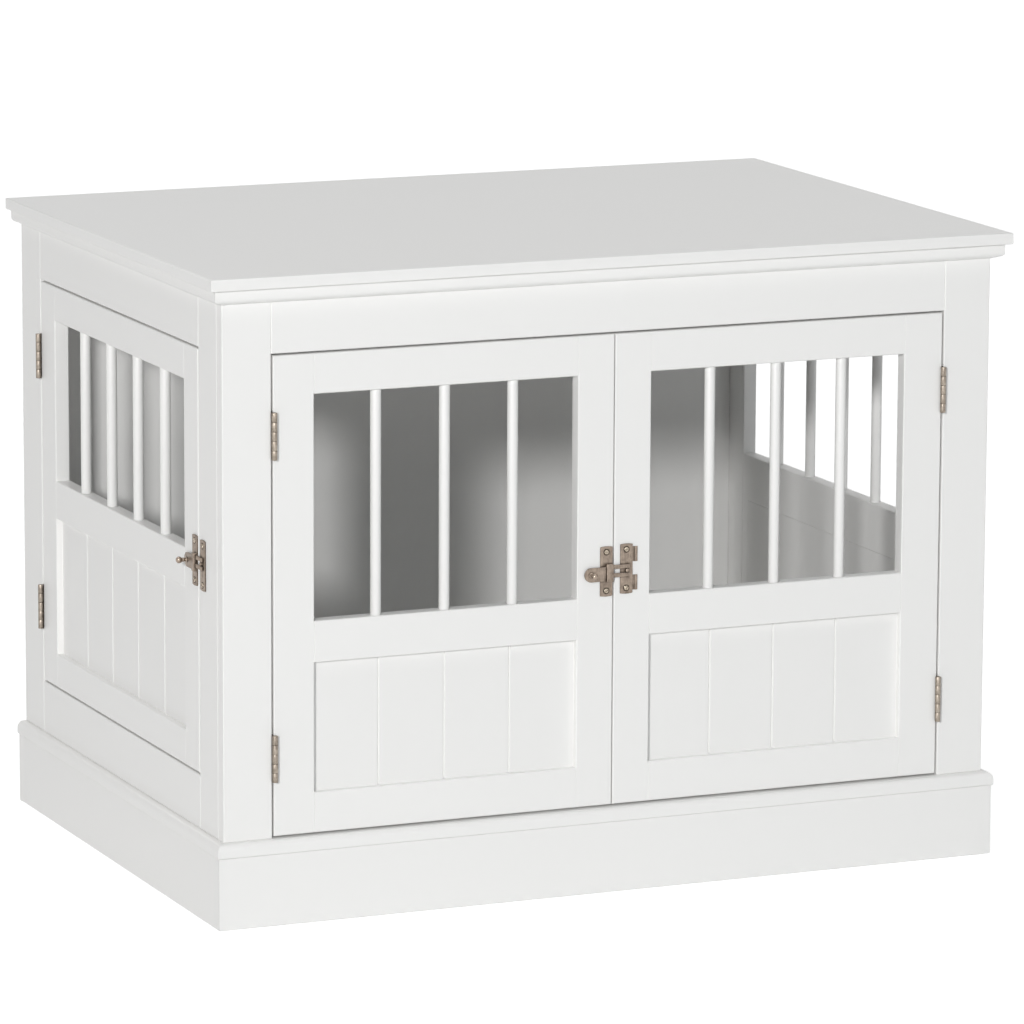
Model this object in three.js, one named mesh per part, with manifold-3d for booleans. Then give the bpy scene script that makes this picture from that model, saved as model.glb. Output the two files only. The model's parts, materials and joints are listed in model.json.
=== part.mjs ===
// Dog crate end table: a white board cabinet with a pair of inset front doors, an inset door
// in the left side, dowel-barred windows over beadboard panels, butt hinges and slide bolts.
// Millimetres, +Z up, the front faces -Y. The origin is on the floor under the middle of the top.
import * as THREE from "three";
import { mergeVertices } from "three/addons/utils/BufferGeometryUtils.js";
import Module from "manifold-3d";

const wasm = await Module();
wasm.setup();

// ---------------------------------------------------------------- driving dimensions
const WIDTH = 1020; // top panel, left to right
const DEPTH = 720; // top panel, front to back
const HEIGHT = 762; // floor to the top surface

const OVERHANG = 20; // top panel past the cabinet at the front and sides
const TOP_T = 14;
const FACE_T = 18; // face frame boards of the front
const SIDE_T = 18; // boards of the two sides
const DOOR_T = 18; // doors and the panel frame of the right side
const BACK_T = 12;
const BACK_RECESS = 2; // back panel in from the rear edge
const BASE_T = 17; // floor board with its bullnose
const BEADBOARD_T = 10;
const PLINTH_T = 12;
const PLINTH_H = 85;

const CORNICE_H = 18.5;
const CORNICE_OUT = 13; // cornice past the cabinet
const CORNICE_ROUND = 5;
const CORNICE_SLOPE = 3.5; // fall of its underside towards the cabinet
const CORNICE_TURN = 65; // degrees that the round turns before the slope takes over
const BULLNOSE_OUT = 11.5; // base panel past the cabinet
const BULLNOSE_TOP_R = 8;
const BULLNOSE_LOW_R = 3;
const PLINTH_OUT = 9.5; // plinth past the cabinet
const EASE = 1; // eased edge of every board
const TOP_EDGE_R = 1.5;

const POST_W = 60; // front posts
const HEADER_H = 78; // rail over the doors, up to the top panel
const SIDE_FRONT_STILE = 59;
const SIDE_REAR_STILE = 70;
const SIDE_SILL_H = 64;
const RIGHT_REAR_STILE = 55.5; // right side, whose front stile takes what its window leaves
const RIGHT_WINDOW_W = 452;
// Panel frame under the fixed window. Its top rail is the window's sill.
const RIGHT_LEAF = { midRailTop: 385.5, midRail: 65.5, bottomRail: 42, stile: 21.5 };

const GAP = 2.5; // reveal all round a door
const MEETING_GAP = 1.4; // between the two front doors
const FIXED_GAP = 0.3; // joint line round a piece that is glued in
const HINGE_STILE = 50;
const MEETING_STILE = 46; // stile with the latch or the strike

// Heights on a door: rails are measured, the windows and panels lie between them.
const FRONT_LEAF = { topRail: 47, midRailTop: 355, midRail: 49, bottomRail: 48 };
const SIDE_LEAF = { topRail: 42, midRailTop: 427, midRail: 47, bottomRail: 42 };
const FRONT_BARS = 3;
const SIDE_BARS = 4;
const BAR_D = 12.7;
const BAR_SIDES = 20;
const SOCKET_DEPTH = 8;
const SOCKET_CLEARANCE = 0.25;
const REBATE_LIP = 6; // beadboard behind the frame, each side
const GROOVE_W = 3;
const GROOVE_DEPTH = 2;
const JOINT_W = 0.8; // V-groove along the joints of a door's stiles with its rails
const JOINT_DEPTH = 0.6;

const HINGE_H = 55;
const HINGE_INSET = 65; // door end to the near end of its hinge
const LEAF_CLEARANCE = 0.5; // between the two leaves of a shut hinge, which fill the gap
const LEAF_DEPTH = 14; // leaf along the door's edge
const BARREL_R = 3.4;
const BARREL_OFF_FACE = 0.4; // barrel clear of the door's face
const BARREL_SHIFT = 1; // barrel past the middle of the gap, towards the door
const PIN_R = 1.3;
const PIN_CLEARANCE = 0.35;
const KNUCKLES = 5;
const KNUCKLE_GAP = 0.3;
const BARREL_SIDES = 16;
const PIN_SIDES = 12;

const LATCH_W = 15.7; // case and strike plates
const LATCH_H = 60;
const LATCH_T = 1.5;
const LATCH_ARCH = 0.8; // rise of a plate's ends
const CASE_FROM_GAP = 2; // case from the middle of the gap
const STRIKE_FROM_GAP = 8;
const BOLT_T = 2;
const BOLT_H = 14.6;
const BOLT_CLEARANCE = 0.3;
const BOLT_LIFT = 0.2; // bolt off the plate that it slides on
const TAB_H = 17;
const TAB_DROP = 2.8; // middle of the tab under the bolt's axis
const TAB_REACH = 20.8; // tab past the case
const BRIDGE_W = 9;
const BRIDGE_WALL = 1.5;
const BRIDGE_TOP = 9.2; // above the bolt's axis
const BRIDGE_BOTTOM = 12; // under it
const STUD_R = 2.1;
const STUD_CLEARANCE = 0.5; // fork beside the stud
const STUD_PROUD = 0.7; // stud past the bolt
const STUD_DOME = 0.8;
const STUD_SIDES = 16;
const FORK_PAST_STUD = 3.5; // prongs past the stud's middle
const KNOB = { collarR: 3.2, collarT: 0.8, neckR: 1.7, neckEnd: 3.2, beadR: 2.3, ballR: 4, length: 13.4 };
const KNOB_SIDES = 20;
// Ears of the front strike, each cut off from the plate by a groove with a thin web under it.
const EAR = { width: 6.3, height: 18, from: 8, thick: 1.4, groove: 2.8, web: 0.5 };
const FRONT_LATCH_Z = 386;
const SIDE_LATCH_Z = 419;
const FRONT_STRIKE_RISE = 1.6; // middle of the strike above the bolt's axis
const SIDE_STRIKE_RISE = -2;

const RUN_IN = 1; // how far a joined piece runs into its neighbour, and a cutter out of a wall

// ---------------------------------------------------------------- derived places
const bodyHalf = WIDTH / 2 - OVERHANG;
const frontFace = -DEPTH / 2 + OVERHANG;
const rearFace = DEPTH / 2;
const topUnder = HEIGHT - TOP_T;
const floorTop = PLINTH_H + BASE_T;
const openingTop = topUnder - HEADER_H;
const sillTop = floorTop + SIDE_SILL_H;
const sideOpening = {
  front: frontFace + FACE_T + SIDE_FRONT_STILE,
  rear: rearFace - SIDE_REAR_STILE,
};

// ---------------------------------------------------------------- materials
const paint = (tone) =>
  new THREE.MeshStandardMaterial({ color: tone, roughness: 0.45, metalness: 0 });
const whitePaint = paint(0xeeeeeb);
const panelPaint = paint(0xebebe8);
const bronze = new THREE.MeshStandardMaterial({ color: 0x77604a, roughness: 0.42, metalness: 0.85 });
const brightBronze = new THREE.MeshStandardMaterial({ color: 0x8f7554, roughness: 0.3, metalness: 0.9 });

// ---------------------------------------------------------------- helpers
const table = new THREE.Group();

// An elevation is a group whose x runs to the right along a face of the cabinet, y runs up
// and z points out of that face, as on a drawing of the face.
function elevation(turn, x, y) {
  const group = new THREE.Group();
  group.rotation.order = "ZYX";
  group.rotation.set(Math.PI / 2, 0, turn);
  group.position.set(x, y, 0);
  table.add(group);
  return group;
}

const front = elevation(0, 0, frontFace);
const left = elevation(-Math.PI / 2, -bodyHalf, 0);
const right = elevation(Math.PI / 2, bodyHalf, 0);
const back = elevation(Math.PI, 0, rearFace);

function add(group, name, geometry, material) {
  const mesh = new THREE.Mesh(geometry, material);
  mesh.name = name;
  group.add(mesh);
  return mesh;
}

function toSolid(geometry) {
  const plain = geometry.clone();
  plain.deleteAttribute("normal");
  plain.deleteAttribute("uv");
  const merged = mergeVertices(plain, 1e-4);
  const vertProperties = new Float32Array(merged.attributes.position.array);
  const triVerts = new Uint32Array(merged.index.array);
  return new wasm.Manifold(new wasm.Mesh({ numProp: 3, vertProperties, triVerts }));
}

function toGeometry(solid) {
  const { vertProperties, triVerts } = solid.getMesh();
  const geometry = new THREE.BufferGeometry();
  geometry.setAttribute("position", new THREE.BufferAttribute(vertProperties, 3));
  geometry.setIndex(new THREE.BufferAttribute(triVerts, 1));
  const flat = geometry.toNonIndexed();
  flat.computeVertexNormals();
  return flat;
}

const join = (first, ...others) =>
  toGeometry(others.reduce((sum, piece) => sum.add(toSolid(piece)), toSolid(first)));

const cut = (first, ...others) =>
  toGeometry(others.reduce((rest, piece) => rest.subtract(toSolid(piece)), toSolid(first)));

function box(x0, x1, y0, y1, z0, z1) {
  const geometry = new THREE.BoxGeometry(x1 - x0, y1 - y0, z1 - z0);
  return geometry.translate((x0 + x1) / 2, (y0 + y1) / 2, (z0 + z1) / 2);
}

function rod(radius, x, z, y0, y1, sides) {
  return new THREE.CylinderGeometry(radius, radius, y1 - y0, sides).translate(x, (y0 + y1) / 2, z);
}

function rectangle(x0, x1, y0, y1) {
  const corners = [[x0, y0], [x1, y0], [x1, y1], [x0, y1]];
  return corners.map(([x, y]) => new THREE.Vector2(x, y));
}

// A board or frame seen in elevation: its face at z = 0, its thickness behind, edges eased.
function slab(outline, thickness, holes = []) {
  const shape = new THREE.Shape(outline);
  shape.holes = holes.map((hole) => new THREE.Path(hole));
  const geometry = new THREE.ExtrudeGeometry(shape, {
    depth: thickness - 2 * EASE,
    bevelThickness: EASE,
    bevelSize: EASE,
    bevelOffset: -EASE,
    bevelSegments: 1,
  });
  return geometry.translate(0, 0, EASE - thickness);
}

// Joins rings of as many convex points each into one closed skin.
function loft(rings) {
  const count = rings[0].length;
  const positions = rings.flat().flatMap((point) => [point.x, point.y, point.z]);
  const index = [];
  for (let ring = 0; ring + 1 < rings.length; ring++) {
    for (let i = 0; i < count; i++) {
      const here = ring * count + i;
      const next = ring * count + ((i + 1) % count);
      index.push(here, next, next + count, here, next + count, here + count);
    }
  }
  const last = (rings.length - 1) * count;
  for (let i = 1; i + 1 < count; i++) {
    index.push(0, i + 1, i, last, last + i, last + i + 1);
  }
  const geometry = new THREE.BufferGeometry();
  geometry.setAttribute("position", new THREE.Float32BufferAttribute(positions, 3));
  geometry.setIndex(index);
  const flat = geometry.toNonIndexed();
  flat.computeVertexNormals();
  return flat;
}

// Points on a quarter circle about (out, height), from one angle to another in degrees.
function arc(out, height, radius, from, to, steps) {
  return Array.from({ length: steps + 1 }, (_, i) => {
    const angle = THREE.MathUtils.degToRad(from + ((to - from) * i) / steps);
    return { out: out + radius * Math.cos(angle), height: height + radius * Math.sin(angle) };
  });
}

// Turns a profile about the z axis. It starts and ends on that axis.
function lathe(profile, sides) {
  const points = profile.map(({ out, height }) => new THREE.Vector2(Math.max(out, 0), height));
  return new THREE.LatheGeometry(points, sides).rotateX(Math.PI / 2);
}

// ---------------------------------------------------------------- top, base and mouldings
// A horizontal panel whose edge follows a profile on the front and sides and,
// where rearFollows is set, on the rear too. out is measured from the cabinet's faces.
function edgedPanel(profile, rearFollows) {
  return loft(
    profile.map(({ out, height }) => {
      const x = bodyHalf + out;
      const y0 = frontFace - out;
      const y1 = rearFollows ? rearFace + out - OVERHANG : rearFace;
      return [
        new THREE.Vector3(-x, y0, height),
        new THREE.Vector3(x, y0, height),
        new THREE.Vector3(x, y1, height),
        new THREE.Vector3(-x, y1, height),
      ];
    }),
  );
}

const topProfile = [
  ...arc(OVERHANG - TOP_EDGE_R, topUnder + TOP_EDGE_R, TOP_EDGE_R, -90, 0, 3),
  ...arc(OVERHANG - TOP_EDGE_R, HEIGHT - TOP_EDGE_R, TOP_EDGE_R, 0, 90, 3),
];
add(table, "top_panel", edgedPanel(topProfile, true), whitePaint);

const bullnoseProfile = [
  ...arc(BULLNOSE_OUT - BULLNOSE_LOW_R, PLINTH_H + BULLNOSE_LOW_R, BULLNOSE_LOW_R, -90, 0, 4),
  ...arc(BULLNOSE_OUT - BULLNOSE_TOP_R, floorTop - BULLNOSE_TOP_R, BULLNOSE_TOP_R, 0, 90, 7),
];
add(table, "base_panel", edgedPanel(bullnoseProfile, false), whitePaint);

// A moulding along the front or a side. Both ends of a front piece and the front end of a
// side piece are mitred, so each profile point reaches out past the corner by its own offset.
function frontMoulding(profile) {
  const end = (side) =>
    profile.map(({ out, height }) => {
      const reach = bodyHalf + out - FIXED_GAP / 2;
      return new THREE.Vector3(side * reach, frontFace - out, height);
    });
  return loft([end(1), end(-1)]);
}

function sideMoulding(profile, side, rear) {
  const along = (yOf) =>
    profile.map((point) => new THREE.Vector3(side * (bodyHalf + point.out), yOf(point), point.height));
  const mitred = along(({ out }) => frontFace - out + FIXED_GAP / 2);
  const square = along(() => rear);
  return loft(side < 0 ? [mitred, square] : [square, mitred]);
}

const corniceBottom = topUnder - CORNICE_H;
const roundDrop = CORNICE_ROUND * Math.sin(THREE.MathUtils.degToRad(CORNICE_TURN));
const roundHeight = corniceBottom + CORNICE_SLOPE + roundDrop;
const corniceProfile = [
  { out: 0, height: topUnder },
  { out: 0, height: corniceBottom },
  ...arc(CORNICE_OUT - CORNICE_ROUND, roundHeight, CORNICE_ROUND, -CORNICE_TURN, 0, 6),
  { out: CORNICE_OUT, height: topUnder },
];
add(table, "cornice_front", frontMoulding(corniceProfile), whitePaint);
add(table, "cornice_left", sideMoulding(corniceProfile, -1, rearFace), whitePaint);
add(table, "cornice_right", sideMoulding(corniceProfile, 1, rearFace), whitePaint);

const plinthProfile = [
  { out: PLINTH_OUT - PLINTH_T, height: PLINTH_H },
  { out: PLINTH_OUT - PLINTH_T, height: 0 },
  { out: PLINTH_OUT - EASE, height: 0 },
  { out: PLINTH_OUT, height: EASE },
  { out: PLINTH_OUT, height: PLINTH_H },
];
const plinthSideRear = rearFace - PLINTH_T;
const plinthHalf = bodyHalf + PLINTH_OUT;
add(table, "plinth_front", frontMoulding(plinthProfile), whitePaint);
add(table, "plinth_left", sideMoulding(plinthProfile, -1, plinthSideRear), whitePaint);
add(table, "plinth_right", sideMoulding(plinthProfile, 1, plinthSideRear), whitePaint);
add(back, "plinth_back", slab(rectangle(-plinthHalf, plinthHalf, 0, PLINTH_H), PLINTH_T), whitePaint);

// ---------------------------------------------------------------- cabinet boards
const openingHalf = bodyHalf - POST_W;

function faceBoard(name, x0, x1, y0, y1) {
  add(front, name, slab(rectangle(x0, x1, y0, y1), FACE_T), whitePaint);
}
faceBoard("front_left_post", -bodyHalf, -openingHalf, floorTop, topUnder);
faceBoard("front_right_post", openingHalf, bodyHalf, floorTop, topUnder);
faceBoard("front_header_rail", -openingHalf, openingHalf, openingTop, topUnder);

// On the left elevation x runs from the rear (negative) to the front (positive).
const leftFrontEnd = -(frontFace + FACE_T);
function leftBoard(name, x0, x1, y0, y1) {
  add(left, name, slab(rectangle(x0, x1, y0, y1), SIDE_T), whitePaint);
}
leftBoard("left_front_stile", -sideOpening.front, leftFrontEnd, floorTop, topUnder);
leftBoard("left_rear_stile", -rearFace, -sideOpening.rear, floorTop, topUnder);
leftBoard("left_header_rail", -sideOpening.rear, -sideOpening.front, openingTop, topUnder);
leftBoard("left_sill_rail", -sideOpening.rear, -sideOpening.front, floorTop, sillTop);

const backHalf = bodyHalf - SIDE_T;
const backPanel = slab(rectangle(-backHalf, backHalf, floorTop, topUnder), BACK_T);
add(back, "back_panel", backPanel.translate(0, 0, -BACK_RECESS), panelPaint);

// ---------------------------------------------------------------- window leaves
// A leaf is a stile-and-rail frame with a barred window over a beadboard panel, as each door is.
// The beadboard lies in a rebate at the back, and each dowel bar sits in a blind socket in the
// rails over and under it.
function leafPlan(x0, x1, y0, y1, stiles, heights) {
  const window = {
    x0: x0 + stiles[0],
    x1: x1 - stiles[1],
    y0: heights.midRailTop,
    y1: y1 - heights.topRail,
  };
  const panel = {
    x0: window.x0,
    x1: window.x1,
    y0: y0 + heights.bottomRail,
    y1: heights.midRailTop - heights.midRail,
  };
  return { x0, x1, y0, y1, window, panel };
}

function barPlaces(window, bars) {
  const clear = (window.x1 - window.x0 - bars * BAR_D) / (bars + 1);
  return Array.from({ length: bars }, (_, i) => window.x0 + clear * (i + 1) + BAR_D * (i + 0.5));
}

function beadboard(panel, boards) {
  const x0 = panel.x0 - REBATE_LIP;
  const x1 = panel.x1 + REBATE_LIP;
  const section = new THREE.Shape();
  section.moveTo(x0, 0);
  for (let i = 1; i < boards; i++) {
    const x = THREE.MathUtils.lerp(panel.x0, panel.x1, i / boards);
    section.lineTo(x - GROOVE_W / 2, 0);
    section.lineTo(x, GROOVE_DEPTH);
    section.lineTo(x + GROOVE_W / 2, 0);
  }
  section.lineTo(x1, 0);
  section.lineTo(x1, BEADBOARD_T);
  section.lineTo(x0, BEADBOARD_T);
  const y0 = panel.y0 - REBATE_LIP;
  const height = panel.y1 - panel.y0 + 2 * REBATE_LIP;
  const geometry = new THREE.ExtrudeGeometry(section, { depth: height, bevelEnabled: false });
  return geometry.rotateX(-Math.PI / 2).translate(0, y0, BEADBOARD_T - DOOR_T);
}

// A V-groove up a face of the frame. The face lies at a depth behind z = 0, and inward is +1
// on the front and -1 on the back.
function jointLine(x, y0, y1, depth, inward) {
  const corners = [
    [x - JOINT_W, depth - inward * JOINT_DEPTH],
    [x + JOINT_W, depth - inward * JOINT_DEPTH],
    [x, depth + inward * JOINT_DEPTH],
  ];
  const section = new THREE.Shape(corners.map(([u, v]) => new THREE.Vector2(u, v)));
  const groove = new THREE.ExtrudeGeometry(section, { depth: y1 - y0, bevelEnabled: false });
  return groove.rotateX(-Math.PI / 2).translate(0, y0, 0);
}

const holeOf = (place) => rectangle(place.x0, place.x1, place.y0, place.y1);

function rebateFor(panel) {
  const reach = REBATE_LIP + FIXED_GAP;
  return box(
    panel.x0 - reach,
    panel.x1 + reach,
    panel.y0 - reach,
    panel.y1 + reach,
    -DOOR_T - RUN_IN,
    BEADBOARD_T - DOOR_T,
  );
}

function socketsFor(window, places) {
  const y0 = window.y0 - SOCKET_DEPTH;
  const y1 = window.y1 + SOCKET_DEPTH;
  return places.map((x) => rod(BAR_D / 2 + SOCKET_CLEARANCE, x, -DOOR_T / 2, y0, y1, BAR_SIDES));
}

function addBars(group, name, window, places) {
  const y0 = window.y0 - SOCKET_DEPTH + FIXED_GAP / 2;
  const y1 = window.y1 + SOCKET_DEPTH - FIXED_GAP / 2;
  places.forEach((x, i) => {
    add(group, `${name}_${i + 1}`, rod(BAR_D / 2, x, -DOOR_T / 2, y0, y1, BAR_SIDES), whitePaint);
  });
}

function leaf(group, names, plan, bars) {
  const { window, panel } = plan;
  const places = barPlaces(window, bars);
  const frame = slab(holeOf(plan), DOOR_T, [holeOf(window), holeOf(panel)]);
  const joints = [window.x0, window.x1].flatMap((x) => [
    jointLine(x, plan.y0 - RUN_IN, plan.y1 + RUN_IN, 0, 1),
    jointLine(x, plan.y0 - RUN_IN, plan.y1 + RUN_IN, DOOR_T, -1),
  ]);
  const cutters = [rebateFor(panel), ...socketsFor(window, places), ...joints];
  add(group, names.frame, cut(frame, ...cutters), whitePaint);
  add(group, names.panel, beadboard(panel, bars + 1), panelPaint);
  addBars(group, names.bar, window, places);
}

const doorTop = openingTop - GAP;
const frontDoor = (x0, x1, stiles) =>
  leafPlan(x0, x1, floorTop + GAP, doorTop, stiles, FRONT_LEAF);
const leftDoor = frontDoor(-openingHalf + GAP, -MEETING_GAP / 2, [HINGE_STILE, MEETING_STILE]);
const rightDoor = frontDoor(MEETING_GAP / 2, openingHalf - GAP, [MEETING_STILE, HINGE_STILE]);
const sideDoor = leafPlan(
  -sideOpening.rear + GAP,
  -sideOpening.front - GAP,
  sillTop + GAP,
  doorTop,
  [HINGE_STILE, MEETING_STILE],
  SIDE_LEAF,
);

const leafNames = (prefix, frame) => ({
  frame: `${prefix}_${frame}`,
  panel: `${prefix}_beadboard`,
  bar: `${prefix}_bar`,
});
leaf(front, leafNames("front_left", "door_frame"), leftDoor, FRONT_BARS);
leaf(front, leafNames("front_right", "door_frame"), rightDoor, FRONT_BARS);
leaf(left, leafNames("side_door", "frame"), sideDoor, SIDE_BARS);

// ---------------------------------------------------------------- right side
// The window here has no door. Its bars stand in the top rail of a panel frame, which fills the
// lower part of the opening, and reach into the wall over it.
const rightWindow = {
  x0: rearFace - RIGHT_REAR_STILE - RIGHT_WINDOW_W,
  x1: rearFace - RIGHT_REAR_STILE,
  y0: RIGHT_LEAF.midRailTop,
  y1: sideDoor.window.y1,
};
const rightPanel = {
  x0: rightWindow.x0 + RIGHT_LEAF.stile,
  x1: rightWindow.x1 - RIGHT_LEAF.stile,
  y0: sillTop + RIGHT_LEAF.bottomRail,
  y1: RIGHT_LEAF.midRailTop - RIGHT_LEAF.midRail,
};
const rightPlaces = barPlaces(rightWindow, SIDE_BARS);
const rightSockets = socketsFor(rightWindow, rightPlaces);
const rightOpening = rectangle(rightWindow.x0, rightWindow.x1, sillTop, rightWindow.y1);
const rightWall = slab(
  rectangle(frontFace + FACE_T, rearFace, floorTop, topUnder),
  SIDE_T,
  [rightOpening],
);
add(right, "right_side_frame", cut(rightWall, ...rightSockets), whitePaint);
const rightFrameEdge = rectangle(
  rightWindow.x0 + FIXED_GAP,
  rightWindow.x1 - FIXED_GAP,
  sillTop + FIXED_GAP,
  rightWindow.y0,
);
const rightFrame = slab(rightFrameEdge, DOOR_T, [holeOf(rightPanel)]);
const rightCutters = [rebateFor(rightPanel), ...rightSockets];
add(right, "right_window_frame", cut(rightFrame, ...rightCutters), whitePaint);
add(right, "right_beadboard", beadboard(rightPanel, SIDE_BARS + 1), panelPaint);
addBars(right, "right_bar", rightWindow, rightPlaces);

// ---------------------------------------------------------------- butt hinges
// The leaves lie in the gap, one on the post and one on the door. The barrel stands proud of
// the face. The post's leaf has the odd knuckles and the pin, and the door's has the even ones.
const leafThickness = (GAP - LEAF_CLEARANCE) / 2;
const barrelOut = BARREL_R + BARREL_OFF_FACE;
const barrelFromPost = GAP / 2 + BARREL_SHIFT;

// One half of a hinge about its barrel's axis, with its leaf's near face at leafX.
function hingeHalf(first, y0, leafX) {
  const leafEnd = leafX + leafThickness;
  const plate = box(leafX, leafEnd, y0, y0 + HINGE_H, -barrelOut - LEAF_DEPTH, -barrelOut - RUN_IN);
  const pitch = (HINGE_H + KNUCKLE_GAP) / KNUCKLES;
  const knuckles = [];
  for (let i = first; i < KNUCKLES; i += 2) {
    const low = y0 + i * pitch;
    const high = low + pitch - KNUCKLE_GAP;
    knuckles.push(rod(BARREL_R, 0, 0, low, high, BARREL_SIDES));
    knuckles.push(box(leafX, leafEnd, low, high, -barrelOut - 2 * RUN_IN, 0));
  }
  return join(plate, ...knuckles);
}

// side is +1 where the door lies to the right of the post and -1 where it lies to the left.
function hinge(group, prefix, postEdge, side, y0) {
  const postLeafX = side > 0 ? -barrelFromPost : barrelFromPost - leafThickness;
  const doorLeafX = postLeafX + side * (GAP - leafThickness);
  const pin = rod(PIN_R, 0, 0, y0, y0 + HINGE_H, PIN_SIDES);
  const bore = rod(PIN_R + PIN_CLEARANCE, 0, 0, y0 - RUN_IN, y0 + HINGE_H + RUN_IN, PIN_SIDES);
  const postLeaf = join(hingeHalf(0, y0, postLeafX), pin);
  const doorLeaf = cut(hingeHalf(1, y0, doorLeafX), bore);
  const axis = postEdge + side * barrelFromPost;
  add(group, `${prefix}_post_leaf`, postLeaf.translate(axis, 0, barrelOut), bronze);
  add(group, `${prefix}_door_leaf`, doorLeaf.translate(axis, 0, barrelOut), bronze);
}

function hingePair(group, prefix, plan, postEdge, side) {
  hinge(group, `${prefix}_upper_hinge`, postEdge, side, plan.y1 - HINGE_INSET - HINGE_H);
  hinge(group, `${prefix}_lower_hinge`, postEdge, side, plan.y0 + HINGE_INSET);
}
hingePair(front, "front_left", leftDoor, -openingHalf, 1);
hingePair(front, "front_right", rightDoor, openingHalf, -1);
hingePair(left, "side_door", sideDoor, -sideOpening.rear, 1);

// ---------------------------------------------------------------- slide bolts
// The case is screwed to the door, and its bridge guides a flat bolt with a knob on its tab.
// The bolt's fork straddles a stud on the strike. Its shoulder stops against the bridge.
function plate(x0, x1, rise) {
  const middle = (x0 + x1) / 2;
  const half = LATCH_H / 2;
  const outline = new THREE.Shape();
  outline.moveTo(x0, LATCH_ARCH - half);
  outline.quadraticCurveTo(middle, -LATCH_ARCH - half, x1, LATCH_ARCH - half);
  outline.lineTo(x1, half - LATCH_ARCH);
  outline.quadraticCurveTo(middle, half + LATCH_ARCH, x0, half - LATCH_ARCH);
  const extrusion = { depth: LATCH_T, bevelEnabled: false, curveSegments: 6 };
  return new THREE.ExtrudeGeometry(outline, extrusion).translate(0, rise, 0);
}

const caseRight = -CASE_FROM_GAP;
const caseLeft = caseRight - LATCH_W;
const bridgeLeft = caseRight - BRIDGE_W;
const boltBack = LATCH_T + BOLT_LIFT;
const boltFace = boltBack + BOLT_T;
const tabR = TAB_H / 2;
const tabMiddle = caseLeft - TAB_REACH + tabR; // middle of the tab's round end
const studX = STRIKE_FROM_GAP + LATCH_W / 2;

function latchCase() {
  const tunnel = BOLT_H / 2 + BOLT_CLEARANCE;
  const roof = boltFace + BOLT_CLEARANCE;
  const bridge = new THREE.Shape(rectangle(-BRIDGE_BOTTOM, BRIDGE_TOP, 0, roof + BRIDGE_WALL));
  const block = new THREE.ExtrudeGeometry(bridge, {
    depth: BRIDGE_W - 2 * EASE,
    bevelThickness: EASE,
    bevelSize: EASE,
    bevelOffset: -EASE,
    bevelSegments: 2,
  });
  block.rotateX(Math.PI / 2).rotateZ(Math.PI / 2);
  block.translate(bridgeLeft + EASE, 0, 0);
  const body = join(plate(caseLeft, caseRight, 0), block);
  const slot = box(bridgeLeft - RUN_IN, caseRight + RUN_IN, -tunnel, tunnel, LATCH_T, roof);
  return cut(body, slot);
}

function latchBolt() {
  const shoulder = bridgeLeft - BOLT_CLEARANCE;
  const half = BOLT_H / 2;
  const slotHalf = STUD_R + STUD_CLEARANCE;
  const slotEnd = caseRight - RUN_IN;
  const forkEnd = studX + FORK_PAST_STUD;
  const outline = new THREE.Shape();
  outline.moveTo(forkEnd, half);
  outline.lineTo(shoulder, half);
  outline.lineTo(shoulder, tabR - TAB_DROP);
  outline.lineTo(tabMiddle, tabR - TAB_DROP);
  outline.absarc(tabMiddle, -TAB_DROP, tabR, Math.PI / 2, 1.5 * Math.PI, false);
  outline.lineTo(shoulder, -tabR - TAB_DROP);
  outline.lineTo(shoulder, -half);
  outline.lineTo(forkEnd, -half);
  outline.lineTo(forkEnd, -slotHalf);
  outline.lineTo(slotEnd, -slotHalf);
  outline.lineTo(slotEnd, slotHalf);
  outline.lineTo(forkEnd, slotHalf);
  const extrusion = { depth: BOLT_T, bevelEnabled: false, curveSegments: 14 };
  return new THREE.ExtrudeGeometry(outline, extrusion).translate(0, 0, boltBack);
}

// A ball on a waisted neck, with a bead under the ball and a collar on the tab.
function latchKnob() {
  const ballCentre = KNOB.length - KNOB.ballR;
  const ballStart = -Math.acos(KNOB.neckR / KNOB.ballR);
  const beadEnd = ballCentre + KNOB.ballR * Math.sin(ballStart);
  const profile = [
    { out: 0, height: 0 },
    { out: KNOB.collarR, height: 0 },
    { out: KNOB.collarR, height: KNOB.collarT },
    { out: KNOB.neckR, height: 2 * KNOB.collarT },
    { out: KNOB.neckR, height: KNOB.neckEnd },
    { out: KNOB.beadR, height: (KNOB.neckEnd + beadEnd) / 2 },
    ...arc(0, ballCentre, KNOB.ballR, THREE.MathUtils.radToDeg(ballStart), 90, 8),
  ];
  return lathe(profile, KNOB_SIDES).translate(tabMiddle, -TAB_DROP, boltFace);
}

function latchStrike(rise, withEars) {
  const x1 = STRIKE_FROM_GAP + LATCH_W;
  const top = boltFace + STUD_PROUD;
  const stud = lathe(
    [
      { out: 0, height: 0 },
      { out: STUD_R, height: 0 },
      { out: STUD_R, height: top },
      { out: STUD_R * Math.SQRT1_2, height: top + STUD_DOME * Math.SQRT1_2 },
      { out: 0, height: top + STUD_DOME },
    ],
    STUD_SIDES,
  );
  const pieces = [stud.translate(studX, 0, 0)];
  if (withEars) {
    for (const low of [EAR.from, -EAR.from - EAR.height].map((height) => height + rise)) {
      const end = x1 + EAR.width;
      pieces.push(box(x1 - RUN_IN, end, low, low + EAR.height, 0, EAR.web));
      pieces.push(box(x1 + EAR.groove, end, low, low + EAR.height, 0, EAR.thick));
    }
  }
  return join(plate(STRIKE_FROM_GAP, x1, rise), ...pieces);
}

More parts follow.
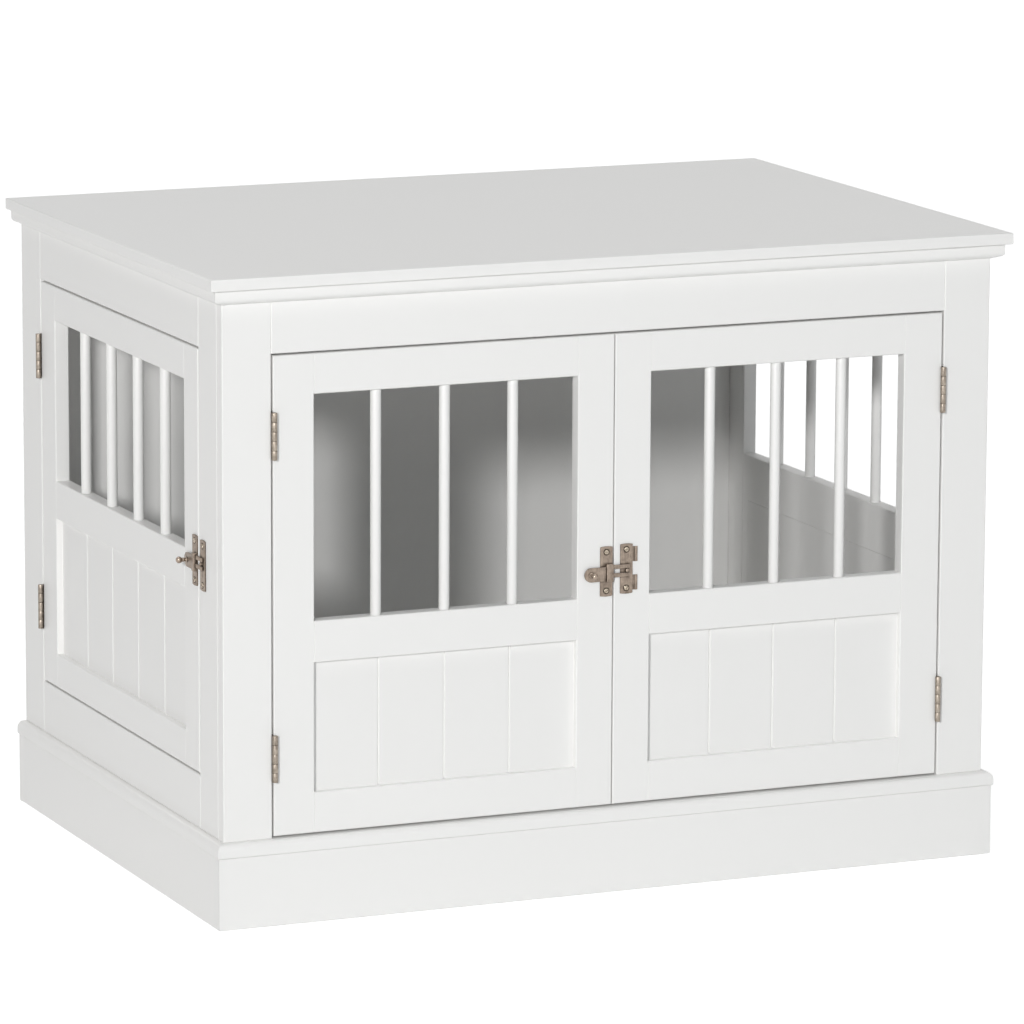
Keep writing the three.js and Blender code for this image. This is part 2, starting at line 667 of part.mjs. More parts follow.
function slideBolt(group, prefix, gapMiddle, height, strikeRise, withEars) {
  const spot = new THREE.Group();
  spot.position.set(gapMiddle, height, 0);
  group.add(spot);
  add(spot, `${prefix}_latch_case`, latchCase(), bronze);
  add(spot, `${prefix}_latch_bolt`, latchBolt(), bronze);
  add(spot, `${prefix}_latch_knob`, latchKnob(), brightBronze);
  add(spot, `${prefix}_latch_strike`, latchStrike(strikeRise, withEars), bronze);
}
slideBolt(front, "front", 0, FRONT_LATCH_Z, FRONT_STRIKE_RISE, true);
slideBolt(left, "side", -sideOpening.front - GAP / 2, SIDE_LATCH_Z, SIDE_STRIKE_RISE, false);

export default table;
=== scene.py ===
import json
import math

import bpy
from mathutils import Matrix, Vector

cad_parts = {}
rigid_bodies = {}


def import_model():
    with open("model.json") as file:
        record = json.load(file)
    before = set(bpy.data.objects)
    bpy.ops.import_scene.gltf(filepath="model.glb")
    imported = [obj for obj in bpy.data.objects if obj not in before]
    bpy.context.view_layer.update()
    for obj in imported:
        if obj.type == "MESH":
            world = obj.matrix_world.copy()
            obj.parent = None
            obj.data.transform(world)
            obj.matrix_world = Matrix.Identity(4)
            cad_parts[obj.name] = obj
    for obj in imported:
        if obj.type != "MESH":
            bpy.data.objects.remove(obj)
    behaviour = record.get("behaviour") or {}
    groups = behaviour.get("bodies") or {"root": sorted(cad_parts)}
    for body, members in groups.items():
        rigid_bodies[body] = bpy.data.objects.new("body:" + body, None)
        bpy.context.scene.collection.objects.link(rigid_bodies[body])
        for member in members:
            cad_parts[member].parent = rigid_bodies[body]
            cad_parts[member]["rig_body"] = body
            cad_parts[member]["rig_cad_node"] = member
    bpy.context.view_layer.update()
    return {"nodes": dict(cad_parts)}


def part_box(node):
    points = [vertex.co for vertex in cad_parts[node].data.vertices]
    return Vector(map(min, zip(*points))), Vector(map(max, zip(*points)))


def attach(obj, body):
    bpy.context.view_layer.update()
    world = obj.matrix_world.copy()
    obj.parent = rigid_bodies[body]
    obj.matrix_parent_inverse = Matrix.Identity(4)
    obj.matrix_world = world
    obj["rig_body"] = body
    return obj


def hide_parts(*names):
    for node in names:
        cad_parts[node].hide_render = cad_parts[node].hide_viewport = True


bl_info = {
    "name": "Dog Crate End Table",
    "version": (1, 0, 0),
    "blender": (4, 5, 0),
    "location": "View3D > Sidebar > Crate Table",
    "description": "Boards, dowel bars, hinges and slide bolts of a crate that is an end table",
    "category": "Object",
}

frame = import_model()
NODES = frame["nodes"]
MM = 0.001

# ------------------------------------------------------------------ the frame's pieces
LEAVES = ("front_left_door", "front_right_door", "side_door", "right_window")
PANELS = (
    "back_panel", "front_left_beadboard", "front_right_beadboard",
    "side_door_beadboard", "right_beadboard",
)
BOARDS = (
    "front_left_post", "front_right_post", "front_header_rail",
    "left_front_stile", "left_rear_stile", "left_header_rail", "left_sill_rail", "right_side_frame",
    "plinth_front", "plinth_left", "plinth_right", "plinth_back",
    *(f"{leaf}_frame" for leaf in LEAVES),
)
MOULDED = ("top_panel", "base_panel", "cornice_front", "cornice_left", "cornice_right")
BARS = sorted(name for name in NODES if "_bar_" in name)
HINGE_LEAVES = sorted(name for name in NODES if "_hinge_" in name)
# The way out of each face that carries a latch.
FACES = {"front": Vector((0, -1, 0)), "side": Vector((-1, 0, 0))}

# The latch plates and the screws' seats in them.
PLATE_WIDTH = 15.7 * MM
PLATE_THICKNESS = 1.5 * MM
SEAT_DEPTH = 0.9 * PLATE_THICKNESS
SEAT_TAPER = 0.8 * MM
OVERCUT = 0.2 * MM  # how far a cutter stands out of what it cuts

# A screw's dome, as the rise and the ratio to the ring before, and its slot.
SCREW_SIDES = 32
SCREW_DOME = ((0.3 * MM, 0.97), (0.35 * MM, 0.84), (0.2 * MM, 0.7), (0.08 * MM, 0.5))
SCREW_SUNK = 0.02 * MM
SLOT_FLOOR = 0.25 * MM
SLOT_HEIGHT = 1.4 * MM
SCREW_TURNS = (35, -20, 70, 10, 55, 15, -40, 80)  # degrees, one for each slot

# The knob, from the tab outwards.
COLLAR_RADIUS = 3.2 * MM
COLLAR_THICKNESS = 0.8 * MM
NECK_RADIUS = 2.1 * MM
BEAD_RADIUS = 2.8 * MM
BALL_RADIUS = 4 * MM
BALL_STEPS = 14
KNOB_LENGTH = 13.4 * MM

# Merging, rounds and shading.
WELD_DISTANCE = 0.02 * MM
FLAT_WITHIN = 0.5  # degrees, below which the triangles of a flat face become one
TURNED_SIDES = 40
BAR_END_BEVEL = 0.8 * MM
HINGE_ROUND = 0.35 * MM
LATCH_ROUND = 0.25 * MM
KNOB_ROUND = 0.15 * MM
TRACED_SHARP = 35  # degrees, past which a traced piece keeps an edge
TURNED_SHARP = 40

# The camera, from the corners of the table in the photograph.
CAMERA_PLACE = Vector((-3.01942, -7.05820, 1.86312))
CAMERA_AZIMUTH = math.radians(23.27)
CAMERA_DROP = math.radians(10.82)
CAMERA_ROLL = math.radians(0.27)
CAMERA_LENS = 224.883
CAMERA_SENSOR = 36
CAMERA_REACH = 200

# The floor, and the lamps by the way from the table's middle to each.
FLOOR_RADIUS = 40
TABLE_MIDDLE = Vector((0, 0, 0.38))
KEY_WAY = Vector((-0.585, -0.763, 0.276))
KEY_DISTANCE = 12
KEY_SIZE = 1.2
OVERHEAD_WAY = Vector((0, 0.1, 1))
FILL_WAY = Vector((0.1, -0.95, 0.35))
FILL_COLOUR = (0.9, 0.96, 1)
WIDE_LIGHT = math.radians(60)


# ------------------------------------------------------------------ settings
class PaintSettings(bpy.types.PropertyGroup):
    colour: bpy.props.FloatVectorProperty(
        name="Paint", description="Satin white of the boards", subtype="COLOR",
        size=3, min=0, max=1, default=(0.865, 0.86, 0.845),
    )
    roughness: bpy.props.FloatProperty(
        name="Satin", description="Roughness of the paint", min=0, max=1,
        default=0.42, subtype="FACTOR",
    )
    grain: bpy.props.FloatProperty(
        name="Spray Texture", description="Depth of the sprayed paint's fine texture",
        default=0.00002, min=0, unit="LENGTH", precision=6,
    )


class MetalSettings(bpy.types.PropertyGroup):
    dark: bpy.props.FloatVectorProperty(
        name="Patina", description="Dark brown of the antique bronze", subtype="COLOR",
        size=3, min=0, max=1, default=(0.1, 0.077, 0.06),
    )
    light: bpy.props.FloatVectorProperty(
        name="Rubbed Bronze", description="Bronze where the patina has worn", subtype="COLOR",
        size=3, min=0, max=1, default=(0.34, 0.275, 0.222),
    )
    # The hinges' paler bronze is partly their wear and partly a painted reflection.
    hinge: bpy.props.FloatVectorProperty(
        name="Worn Hinge With Painted Reflection", description="Pale bronze of the hinges' rubbed barrels", subtype="COLOR",
        size=3, min=0, max=1, default=(0.43, 0.375, 0.315),
    )
    screw: bpy.props.FloatVectorProperty(
        name="Screw Brass", description="Brass of the screw heads", subtype="COLOR",
        size=3, min=0, max=1, default=(0.5, 0.43, 0.34),
    )
    roughness: bpy.props.FloatProperty(
        name="Metal Roughness", description="Roughness of the bronze", min=0, max=1,
        default=0.4, subtype="FACTOR",
    )


class FastenerSettings(bpy.types.PropertyGroup):
    screw_diameter: bpy.props.FloatProperty(
        name="Screw Head", description="Diameter of a screw's domed head",
        default=6 * MM, min=2 * MM, unit="LENGTH", precision=4,
    )
    slot_width: bpy.props.FloatProperty(
        name="Screw Slot", description="Width of the slot in a screw's head",
        default=1.3 * MM, min=0.2 * MM, unit="LENGTH", precision=4,
    )
    seat_diameter: bpy.props.FloatProperty(
        name="Screw Seat", description="Diameter of the seat that a screw lies in",
        default=7.8 * MM, min=2 * MM, unit="LENGTH", precision=4,
    )
    screw_from_end: bpy.props.FloatProperty(
        name="Screw Inset", description="Screw's middle from the end of its plate",
        default=6.9 * MM, min=3 * MM, unit="LENGTH", precision=4,
    )


class StageSettings(bpy.types.PropertyGroup):
    floor: bpy.props.FloatVectorProperty(
        name="Floor", description="Pale floor", subtype="COLOR",
        size=3, min=0, max=1, default=(0.9, 0.9, 0.9),
    )
    floor_glow: bpy.props.FloatProperty(
        name="Floor Glow", description="What the floor adds to itself where it is seen",
        default=0.62, min=0,
    )
    ambience: bpy.props.FloatProperty(
        name="Ambience", description="Light from all round", default=0.09, min=0,
    )
    key: bpy.props.FloatProperty(
        name="Key Light", description="Irradiance from the soft box at the front left",
        default=1.74, min=0,
    )
    fill: bpy.props.FloatProperty(
        name="Fill Light", description="Strength of the wide bluish light from the front",
        default=0.4, min=0,
    )
    overhead: bpy.props.FloatProperty(
        name="Overhead Light", description="Strength of the wide light from above",
        default=1.12, min=0,
    )


SETTINGS = {
    "crate_paint": PaintSettings,
    "crate_metal": MetalSettings,
    "crate_fasteners": FastenerSettings,
    "crate_stage": StageSettings,
}


# ------------------------------------------------------------------ shader sums
class Sum:
    """A node socket that adds Math nodes when it is used in an expression."""

    def __init__(self, finish, socket):
        self.finish = finish
        self.socket = socket

    def _math(self, operation, first, second):
        return self.finish.node("ShaderNodeMath", {"operation": operation}, {0: first, 1: second})

    def __add__(self, other):
        return self._math("ADD", self, other)

    def __radd__(self, other):
        return self._math("ADD", other, self)

    def __sub__(self, other):
        return self._math("SUBTRACT", self, other)

    def __rsub__(self, other):
        return self._math("SUBTRACT", other, self)

    def __mul__(self, other):
        return self._math("MULTIPLY", self, other)

    def clamp(self):
        return self.finish.node("ShaderNodeClamp", {}, {"Value": self})


class Finish:
    """A node tree. node() adds any node and returns one of its outputs as a Sum."""

    def __init__(self, owner):
        owner.use_nodes = True
        self.owner = owner
        self.tree = owner.node_tree
        self.tree.nodes.clear()

    def node(self, kind, settings, values, output=0):
        made = self.tree.nodes.new(kind)
        for key, value in settings.items():
            setattr(made, key, value)
        for key, value in values.items():
            self._feed(made.inputs[key], value)
        return Sum(self, made.outputs[output]) if len(made.outputs) else None

    def _feed(self, socket, value):
        if isinstance(value, Sum):
            self.tree.links.new(value.socket, socket)
        else:
            socket.default_value = value

    def noise(self, scale, detail, roughness=0.5, stretch=None):
        place = self.node("ShaderNodeTexCoord", {}, {}, "Object")
        if stretch is not None:
            place = self.node("ShaderNodeMapping", {}, {"Vector": place, "Scale": stretch})
        values = {"Vector": place, "Scale": scale, "Detail": detail, "Roughness": roughness}
        return self.node("ShaderNodeTexNoise", {}, values, "Fac")

    def blend(self, share, first, second):
        mixed = self.tree.nodes.new("ShaderNodeMix")
        mixed.data_type = "RGBA"
        colours = [socket for socket in mixed.inputs if socket.type == "RGBA"]
        for socket, value in ((mixed.inputs[0], share), (colours[0], first), (colours[1], second)):
            self._feed(socket, value)
        return Sum(self, next(socket for socket in mixed.outputs if socket.type == "RGBA"))

    def recess(self, reach):
        """1 in the open, and less where a surface lies within reach of another."""
        return self.node("ShaderNodeAmbientOcclusion", {"samples": 8}, {"Distance": reach}, "AO")

    def bump(self, height, distance):
        values = {"Height": height, "Distance": distance, "Strength": 1.0}
        return self.node("ShaderNodeBump", {}, values, "Normal")

    def seen_directly(self):
        """1 for rays that see the stage, also in a gloss or through glass, and 0 for lighting."""
        path = self.tree.nodes.new("ShaderNodeLightPath")
        kinds = ("Camera", "Glossy", "Transmission")
        camera, glossy, through = (Sum(self, path.outputs[f"Is {kind} Ray"]) for kind in kinds)
        return (camera + glossy + through).clamp()

    def surface(self, values):
        shader = self.node("ShaderNodeBsdfPrincipled", {}, values, "BSDF")
        self.node("ShaderNodeOutputMaterial", {}, {"Surface": shader})


def rgba(colour, factor=1.0):
    return (*(min(1.0, channel * factor) for channel in colour), 1.0)


def paint_finish(name, settings, tone):
    """Sprayed satin paint: faint clouding, a fine orange-peel bump and a slightly uneven sheen."""
    finish = Finish(bpy.data.materials.new(name))
    clouds = finish.noise(2.3, 2)
    speckle = finish.noise(900, 2)
    finish.surface({
        "Base Color": finish.blend(
            clouds, rgba(settings.colour, tone * 0.988), rgba(settings.colour, tone * 1.01),
        ),
        "Roughness": settings.roughness - 0.04 + clouds * 0.05 + speckle * 0.03,
        "Specular IOR Level": 0.4,
        "Normal": finish.bump(speckle + clouds * 0.2, settings.grain),
    })


def bronze_finish(name, settings, light, wear, roughness):
    """Antique bronze: brown patina, rubbed in patches and brushed upright, darker in corners as
    patina and as painted shade.
    """
    finish = Finish(bpy.data.materials.new(name))
    patches = finish.noise(160, 4, 0.65)
    brushing = finish.noise(1, 2, stretch=(2600, 2600, 80))
    # Painted shade: where a surface lies near, the bronze turns to dark patina, which stands for
    # patina in hollows and for the shade there.
    open_share = finish.recess(3 * MM)
    unevenness = (patches - 0.5) * 1.5 + (brushing - 0.5) * 1.1
    rubbed_less_painted_shade = (unevenness + wear - (1 - open_share) * 1.9).clamp()
    finish.surface({
        "Base Color": finish.blend(rubbed_less_painted_shade, rgba(settings.dark), rgba(light)),
        "Metallic": 0.95,
        "Roughness": roughness + 0.12 - rubbed_less_painted_shade * 0.12 + brushing * 0.05,
        "Normal": finish.bump(patches * 0.6 + brushing * 0.4, 0.05 * MM),
    })


def screw_finish(name, settings):
    """Brass screw heads, darker in streaks, and darker in the slot and round the rim as patina and
    as painted shade.
    """
    finish = Finish(bpy.data.materials.new(name))
    streaks = finish.noise(500, 3)
    # Painted shade: the brass turns to dark patina in the slot and round the rim, where the
    # occlusion node finds a near surface.
    brass_less_painted_shade = (streaks * 0.6 + 0.5 - (1 - finish.recess(0.9 * MM)) * 1.2).clamp()
    finish.surface({
        "Base Color": finish.blend(brass_less_painted_shade, rgba(settings.dark), rgba(settings.screw)),
        "Metallic": 1.0,
        "Roughness": 0.16 + streaks * 0.16,
        "Normal": finish.bump(streaks, 0.03 * MM),
    })


FINISHES = {
    "white_paint": "Satin White Boards",
    "panel_paint": "Satin White Panels",
    "bronze": "Antique Bronze",
    "hinge_bronze_painted_reflection": "Worn Hinge With Painted Reflection Bronze",
    "bright_bronze": "Rubbed Bronze",
    "screw_brass": "Screw Brass",
}


# ------------------------------------------------------------------ modelling by hand
def deselect():
    for chosen in bpy.context.scene.objects:
        chosen.select_set(False)


def choose(piece):
    deselect()
    piece.hide_set(False)
    piece.select_set(True)
    bpy.context.view_layer.objects.active = piece


def new_piece(name):
    """Names the primitive that was just added."""
    piece = bpy.context.view_layer.objects.active
    piece.name = name
    piece.data.name = name
    return piece


def edit(piece, picks=None):
    """Enters edit mode on the faces of a piece that picks(face) is true for, or on all of it."""
    choose(piece)
    if picks is not None:
        for face in piece.data.polygons:
            face.select = False
        for line in piece.data.edges:
            line.select = False
        for point in piece.data.vertices:
            point.select = False
        for face in piece.data.polygons:
            face.select = picks(face)
    bpy.ops.object.mode_set(mode="EDIT")
    bpy.context.tool_settings.mesh_select_mode = (False, False, True)
    if picks is None:
        bpy.ops.mesh.select_all(action="SELECT")


def done():
    bpy.ops.object.mode_set(mode="OBJECT")


def settle(piece):
    """Puts a piece's place into its mesh, so that its object sits at the origin, unturned."""
    choose(piece)
    bpy.ops.object.transform_apply(location=True, rotation=True, scale=True)


def smooth(piece, degrees):
    choose(piece)
    bpy.ops.object.shade_smooth_by_angle(angle=math.radians(degrees))


def modify(piece, name, kind, **settings):
    choose(piece)
    modifier = piece.modifiers.new(name, kind)
    for key, value in settings.items():
        setattr(modifier, key, value)
    bpy.ops.object.modifier_apply(modifier=name)


def flatten(piece):
    """Keeps the large faces flat in a smooth shading, so that only the rounds are shaded round."""
    modify(piece, "Flat Faces", "WEIGHTED_NORMAL", keep_sharp=True, weight=100)


def rounded(piece, width, degrees=40):
    """Rounds the edges of a piece that are sharper than an angle."""
    modify(
        piece, "Round", "BEVEL", width=width, segments=2, limit_method="ANGLE",
        angle_limit=math.radians(degrees), use_clamp_overlap=True,
    )


def cut_away(piece, cutter):
    modify(piece, "Cut", "BOOLEAN", operation="DIFFERENCE", object=cutter, solver="EXACT")
    bpy.data.objects.remove(cutter)


def stand(piece, place, out):
    """Turns a piece that points up, with its foot on z = 0, to point out from a place."""
    turn = out.to_track_quat("Z", "Y").to_matrix().to_4x4()
    piece.data.transform(Matrix.Translation(place) @ turn)


def dress(piece, slot, finish=None):
    piece.data.materials.clear()
    piece.data.materials.append(bpy.data.materials[FINISHES[finish or slot]])


def stand_for(piece, node, slot, finish=None):
    dress(piece, slot, finish)
    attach(piece, NODES[node]["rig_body"])
    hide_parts(node)


def traced(node, name):
    """A copy of a node's mesh as a new piece: triangles merged, flat faces made whole."""
    copy = NODES[node].copy()
    copy.data = NODES[node].data.copy()
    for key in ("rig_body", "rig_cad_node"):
        if key in copy:
            del copy[key]
    copy.parent = None
    bpy.context.scene.collection.objects.link(copy)
    copy.name = name
    copy.data.name = name
    choose(copy)
    bpy.ops.mesh.customdata_custom_splitnormals_clear()
    edit(copy)
    bpy.ops.mesh.remove_doubles(threshold=WELD_DISTANCE)
    bpy.ops.mesh.dissolve_limited(angle_limit=math.radians(FLAT_WITHIN))
    done()
    return copy


# ------------------------------------------------------------------ pieces
class CRATE_OT_mix_finishes(bpy.types.Operator):
    """Mix the satin paint and the bronze of the crate table"""

    bl_idname = "crate.mix_finishes"
    bl_label = "Mix Finishes"

    def execute(self, context):
        paint, metal = context.scene.crate_paint, context.scene.crate_metal
        paint_finish(FINISHES["white_paint"], paint, 1.0)
        paint_finish(FINISHES["panel_paint"], paint, 0.985)
        bronze_finish(FINISHES["bronze"], metal, metal.light, 0.72, metal.roughness)
        # The hinges get a paler copy of the bronze: worn, and partly a painted reflection.
        bronze_finish(FINISHES["hinge_bronze_painted_reflection"], metal, metal.hinge, 0.62, metal.roughness - 0.04)
        bronze_finish(FINISHES["bright_bronze"], metal, metal.light, 0.95, metal.roughness - 0.17)
        screw_finish(FINISHES["screw_brass"], metal)
        return {"FINISHED"}


class CRATE_OT_paint_boards(bpy.types.Operator):
    """Paint the boards, frames and panels"""

    bl_idname = "crate.paint_boards"
    bl_label = "Paint Boards"

    def execute(self, context):
        for name in BOARDS:
            dress(NODES[name], "white_paint")
        for name in PANELS:
            dress(NODES[name], "panel_paint")
        return {"FINISHED"}


class CRATE_OT_mould_edges(bpy.types.Operator):
    """Model the top, the cornice and the bullnosed base with smooth round edges"""

    bl_idname = "crate.mould_edges"
    bl_label = "Mould Top, Cornice and Base"

    def execute(self, context):
        for name in MOULDED:
            piece = traced(name, f"{name}_moulded")
            smooth(piece, TRACED_SHARP)
            flatten(piece)
            stand_for(piece, name, "white_paint")
        return {"FINISHED"}


class CRATE_OT_turn_bars(bpy.types.Operator):
    """Turn the dowel bars of the windows"""

    bl_idname = "crate.turn_bars"
    bl_label = "Turn Dowel Bars"

    def execute(self, context):
        for name in BARS:
            low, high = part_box(name)
            deselect()
            bpy.ops.mesh.primitive_cylinder_add(
                vertices=TURNED_SIDES, radius=(high.x - low.x) / 2, depth=high.z - low.z,
                location=(low + high) / 2,
            )
            bar = new_piece(f"{name}_dowel")
            edit(bar, lambda face: abs(face.normal.z) > 0.9)
            bpy.ops.mesh.bevel(offset=BAR_END_BEVEL, segments=2)
            done()
            settle(bar)
            smooth(bar, TURNED_SHARP)
            stand_for(bar, name, "white_paint")
        return {"FINISHED"}


class CRATE_OT_fit_hinges(bpy.types.Operator):
    """Fit the butt hinges"""

    bl_idname = "crate.fit_hinges"
    bl_label = "Fit Butt Hinges"

    def execute(self, context):
        for name in HINGE_LEAVES:
            piece = traced(name, f"{name}_worn")
            rounded(piece, HINGE_ROUND)
            smooth(piece, TRACED_SHARP)
            stand_for(piece, name, "bronze", "hinge_bronze_painted_reflection")
        return {"FINISHED"}


def screw_places(plate, sizes):
    """The middles of a plate's lower and upper screws, on its face."""
    low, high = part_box(plate)
    inset = sizes.screw_from_end
    heights = (low.z + inset, high.z - inset)
    if plate.startswith("front"):
        places = [Vector((low.x + PLATE_WIDTH / 2, high.y, z)) for z in heights]
        return [place + FACES["front"] * PLATE_THICKNESS for place in places]
    places = [Vector((high.x, (low.y + high.y) / 2, z)) for z in heights]
    return [place + FACES["side"] * PLATE_THICKNESS for place in places]


def seat_cutter(radius):
    """A cone that cuts a screw's seat into a face on z = 0."""
    deselect()
    bpy.ops.mesh.primitive_cone_add(
        vertices=TURNED_SIDES, radius1=radius - SEAT_TAPER, radius2=radius + OVERCUT,
        depth=SEAT_DEPTH + OVERCUT, location=(0, 0, (OVERCUT - SEAT_DEPTH) / 2),
    )
    cutter = new_piece("seat_cutter")
    settle(cutter)
    return cutter


class CRATE_OT_fit_bolts(bpy.types.Operator):
    """Fit the plates and bolts of the latches, with seats for their screws"""

    bl_idname = "crate.fit_bolts"
    bl_label = "Fit Slide Bolts"

    def execute(self, context):
        sizes = context.scene.crate_fasteners
        for face, out in FACES.items():
            for part in ("case", "strike", "bolt"):
                name = f"{face}_latch_{part}"
                piece = traced(name, f"{name}_worn")
                for place in screw_places(name, sizes) if part != "bolt" else ():
                    cutter = seat_cutter(sizes.seat_diameter / 2)
                    stand(cutter, place, out)
                    cut_away(piece, cutter)
                rounded(piece, LATCH_ROUND)
                smooth(piece, TRACED_SHARP)
                stand_for(piece, name, "bronze")
        return {"FINISHED"}


def draw_on(height, ratio):
    """Extrudes the selected faces along +Z and scales their new end."""
    bpy.ops.mesh.extrude_region_move(TRANSFORM_OT_translate={"value": (0, 0, height)})
    bpy.ops.transform.resize(value=(ratio, ratio, 1))


def turned_knob(name):
    """A ball knob on a collar, a neck and a bead. It stands on z = 0."""
    ball_middle = KNOB_LENGTH - BALL_RADIUS
    ball_start = ball_middle - math.sqrt(BALL_RADIUS**2 - NECK_RADIUS**2)
    neck_end = 4 * COLLAR_THICKNESS
    bead_length = (ball_start - neck_end) / 2
    rings = (
        (COLLAR_THICKNESS, COLLAR_RADIUS, COLLAR_RADIUS),
        (COLLAR_THICKNESS, COLLAR_RADIUS, NECK_RADIUS),
        (neck_end - 2 * COLLAR_THICKNESS, NECK_RADIUS, NECK_RADIUS),
        (bead_length, NECK_RADIUS, BEAD_RADIUS),
        (bead_length, BEAD_RADIUS, NECK_RADIUS),
    )
    deselect()
    bpy.ops.mesh.primitive_circle_add(
        vertices=TURNED_SIDES, radius=COLLAR_RADIUS, fill_type="NGON",
    )
    knob = new_piece(name)
    edit(knob)
    for height, before, after in rings:
        draw_on(height, after / before)
    done()
    end = math.pi - math.asin(NECK_RADIUS / BALL_RADIUS)
    angles = [end - end * step / BALL_STEPS for step in range(BALL_STEPS)]
    edit(knob, lambda face: face.center.z > ball_start - 0.05 * MM and face.normal.z > 0.9)
    for before, after in zip(angles, angles[1:]):
        rise = BALL_RADIUS * (math.cos(after) - math.cos(before))
        draw_on(rise, math.sin(after) / math.sin(before))
    done()
    edit(knob)
    bpy.ops.mesh.normals_make_consistent(inside=False)
    done()
    rounded(knob, KNOB_ROUND, 50)
    return knob


def foot_of(node, face):
    """The middle of a node's inner end, where it meets what is behind it."""
    low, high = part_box(node)
    foot = (low + high) / 2
    if face == "front":
        foot.y = high.y
    else:
        foot.x = high.x
    return foot


class CRATE_OT_turn_knobs(bpy.types.Operator):
    """Turn the ball knobs of the bolts"""

    bl_idname = "crate.turn_knobs"
    bl_label = "Turn Knobs"

    def execute(self, context):
        for face, out in FACES.items():
            name = f"{face}_latch_knob"
            knob = turned_knob(f"{name}_turned")
            stand(knob, foot_of(name, face), out)
            smooth(knob, TURNED_SHARP)
            stand_for(knob, name, "bright_bronze")
        return {"FINISHED"}


def domed_screw(sizes, turn):
    """A slotted screw head: its rim on z = 0, its dome over that and the rest in the seat."""
    radius = sizes.screw_diameter / 2
    deselect()
    bpy.ops.mesh.primitive_cylinder_add(
        vertices=SCREW_SIDES, radius=radius, depth=SEAT_DEPTH,
        location=(0, 0, -SEAT_DEPTH / 2 - SCREW_SUNK),
    )
    screw = new_piece("screw")
    edit(screw, lambda face: face.normal.z > 0.9)
    for height, ratio in SCREW_DOME:
        draw_on(height, ratio)
    done()
    settle(screw)
    deselect()
    bpy.ops.mesh.primitive_cube_add(size=1, location=(0, 0, SLOT_FLOOR + SLOT_HEIGHT / 2))
    slot = new_piece("slot")
    slot.scale = (2.4 * radius, sizes.slot_width, SLOT_HEIGHT)
    slot.rotation_euler.z = math.radians(turn)
    settle(slot)
    cut_away(screw, slot)
    smooth(screw, TURNED_SHARP)
    return screw


class CRATE_OT_drive_screws(bpy.types.Operator):
    """Drive the slotted screws into the latch plates"""

    bl_idname = "crate.drive_screws"
    bl_label = "Drive Latch Screws"

    def execute(self, context):
        sizes = context.scene.crate_fasteners
        turns = iter(SCREW_TURNS)
        for face, out in FACES.items():
            for plate in (f"{face}_latch_case", f"{face}_latch_strike"):
                for end, place in zip(("lower", "upper"), screw_places(plate, sizes)):
                    screw = domed_screw(sizes, next(turns))
                    stand(screw, place, out)
                    screw.name = f"{plate}_{end}_screw"
                    screw.data.name = screw.name
                    dress(screw, "bright_bronze", "screw_brass")
                    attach(screw, NODES[plate]["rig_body"])
        return {"FINISHED"}


# ------------------------------------------------------------------ stage
class CRATE_OT_set_stage(bpy.types.Operator):
    """Set the pale floor, the soft lights and the camera"""

    bl_idname = "crate.set_stage"
    bl_label = "Set Stage"

    def execute(self, context):
        stage = context.scene.crate_stage
        lay_floor(stage)
        hang_lights(stage)
        light_world(stage)
        aim_camera(context.scene)
        context.scene.view_settings.view_transform = "Standard"
        return {"FINISHED"}


def lay_floor(stage):
    deselect()
    bpy.ops.mesh.primitive_circle_add(vertices=96, radius=FLOOR_RADIUS, fill_type="NGON")
    floor = new_piece("floor")
    finish = Finish(bpy.data.materials.new("Pale Floor"))
    diffuse = finish.node("ShaderNodeBsdfDiffuse", {}, {"Color": rgba(stage.floor)}, "BSDF")
    glow = {"Color": (1, 1, 1, 1), "Strength": finish.seen_directly() * stage.floor_glow}
    both = finish.node(
        "ShaderNodeAddShader", {}, {0: diffuse, 1: finish.node("ShaderNodeEmission", {}, glow)},
    )
    finish.node("ShaderNodeOutputMaterial", {}, {"Surface": both})
    floor.data.materials.append(finish.owner)


def hang(name, kind, towards, distance, **settings):
    """Hangs a lamp in a direction from the table's middle, pointed at it."""
    lamp = bpy.data.lights.new(name, kind)
    for key, value in settings.items():
        setattr(lamp, key, value)
    way = towards.normalized()
    holder = bpy.data.objects.new(name, lamp)
    turn = way.to_track_quat("Z", "Y").to_matrix().to_4x4()
    holder.matrix_world = Matrix.Translation(TABLE_MIDDLE + way * distance) @ turn
    holder.visible_camera = False
    bpy.context.scene.collection.objects.link(holder)


def box_energy(irradiance, distance):
    """Watts of a soft box that gives an irradiance at a distance."""
    return irradiance * math.pi * distance**2


def hang_lights(stage):
    """A soft box at the front left, a wide light overhead and a weaker one in front."""
    hang(
        "Key", "AREA", KEY_WAY, KEY_DISTANCE,
        shape="DISK", size=KEY_SIZE, energy=box_energy(stage.key, KEY_DISTANCE),
    )
    hang(
        "Overhead", "SUN", OVERHEAD_WAY, KEY_DISTANCE,
        energy=stage.overhead, angle=WIDE_LIGHT,
    )
    hang(
        "Fill", "SUN", FILL_WAY, KEY_DISTANCE,
        energy=stage.fill, angle=WIDE_LIGHT, color=FILL_COLOUR,
    )


def light_world(stage):
    world = bpy.data.worlds.new("Studio")
    bpy.context.scene.world = world
    finish = Finish(world)
    strength = finish.seen_directly() * (1 - stage.ambience) + stage.ambience
    white = {"Color": (1, 1, 1, 1), "Strength": strength}
    sky = finish.node("ShaderNodeBackground", {}, white)
    finish.node("ShaderNodeOutputWorld", {}, {"Surface": sky})


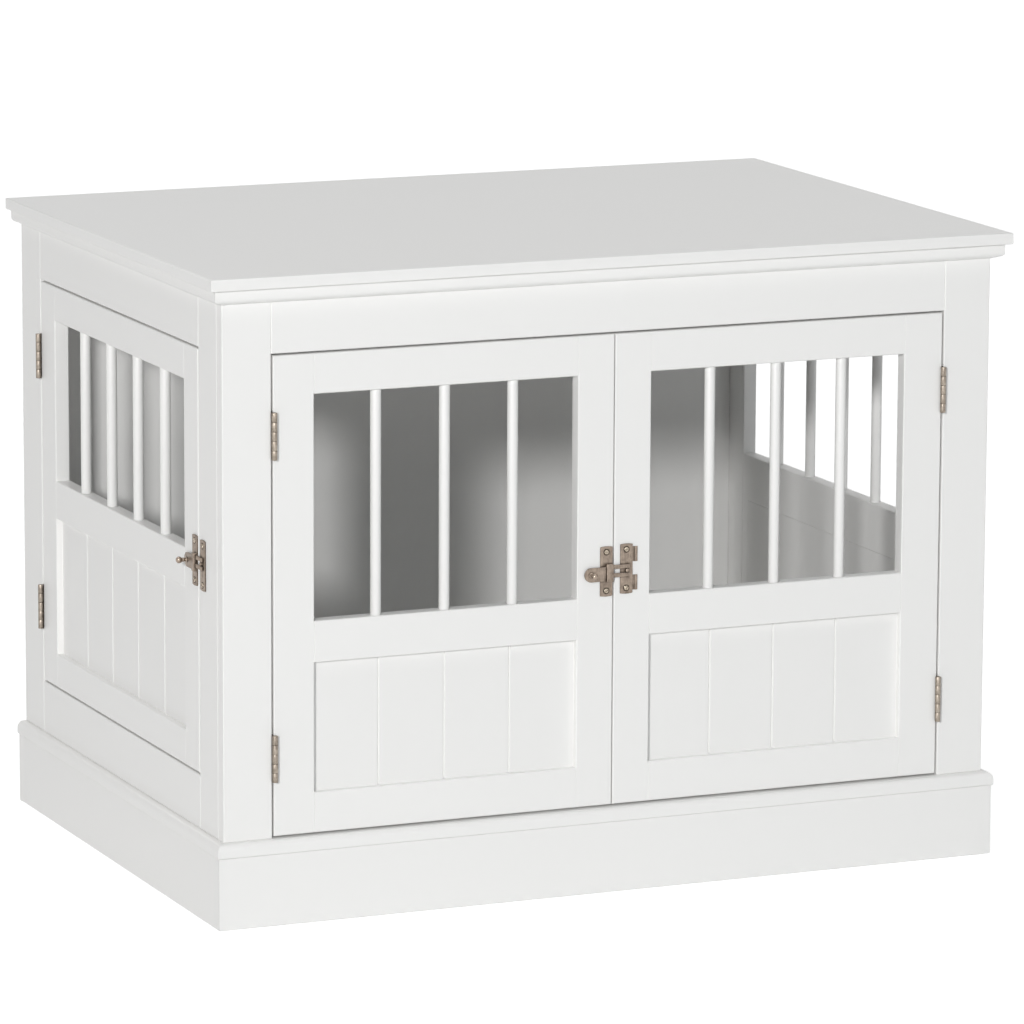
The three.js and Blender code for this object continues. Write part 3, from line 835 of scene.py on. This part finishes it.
def aim_camera(scene):
    ahead = Vector((
        math.sin(CAMERA_AZIMUTH) * math.cos(CAMERA_DROP),
        math.cos(CAMERA_AZIMUTH) * math.cos(CAMERA_DROP),
        -math.sin(CAMERA_DROP),
    ))
    level = Vector((math.cos(CAMERA_AZIMUTH), -math.sin(CAMERA_AZIMUTH), 0))
    rise = level.cross(ahead)
    across = level * math.cos(CAMERA_ROLL) + rise * math.sin(CAMERA_ROLL)
    up = rise * math.cos(CAMERA_ROLL) - level * math.sin(CAMERA_ROLL)
    camera = bpy.data.objects.new("Camera", bpy.data.cameras.new("Camera"))
    camera.data.lens = CAMERA_LENS
    camera.data.sensor_width = CAMERA_SENSOR
    camera.data.clip_end = CAMERA_REACH
    turn = Matrix((across, up, -ahead)).transposed().to_4x4()
    camera.matrix_world = Matrix.Translation(CAMERA_PLACE) @ turn
    scene.collection.objects.link(camera)
    scene.camera = camera


OPERATORS = [
    CRATE_OT_mix_finishes,
    CRATE_OT_paint_boards,
    CRATE_OT_mould_edges,
    CRATE_OT_turn_bars,
    CRATE_OT_fit_hinges,
    CRATE_OT_fit_bolts,
    CRATE_OT_turn_knobs,
    CRATE_OT_drive_screws,
    CRATE_OT_set_stage,
]


class CRATE_PT_table(bpy.types.Panel):
    """Steps that dress the crate table"""

    bl_label = "Crate Table"
    bl_idname = "CRATE_PT_table"
    bl_space_type = "VIEW_3D"
    bl_region_type = "UI"
    bl_category = "Crate Table"

    def draw(self, context):
        for name, group in SETTINGS.items():
            box = self.layout.box()
            for key in group.__annotations__:
                box.prop(getattr(context.scene, name), key)
        for operator in OPERATORS:
            self.layout.operator(operator.bl_idname)


CLASSES = [*SETTINGS.values(), *OPERATORS, CRATE_PT_table]


def register():
    for made in CLASSES:
        bpy.utils.register_class(made)
    for name, group in SETTINGS.items():
        setattr(bpy.types.Scene, name, bpy.props.PointerProperty(type=group))


def unregister():
    for name in SETTINGS:
        delattr(bpy.types.Scene, name)
    for made in reversed(CLASSES):
        bpy.utils.unregister_class(made)


def main():
    register()
    for operator in OPERATORS:
        area, name = operator.bl_idname.split(".")
        getattr(getattr(bpy.ops, area), name)()


if __name__ == "__main__":
    main()
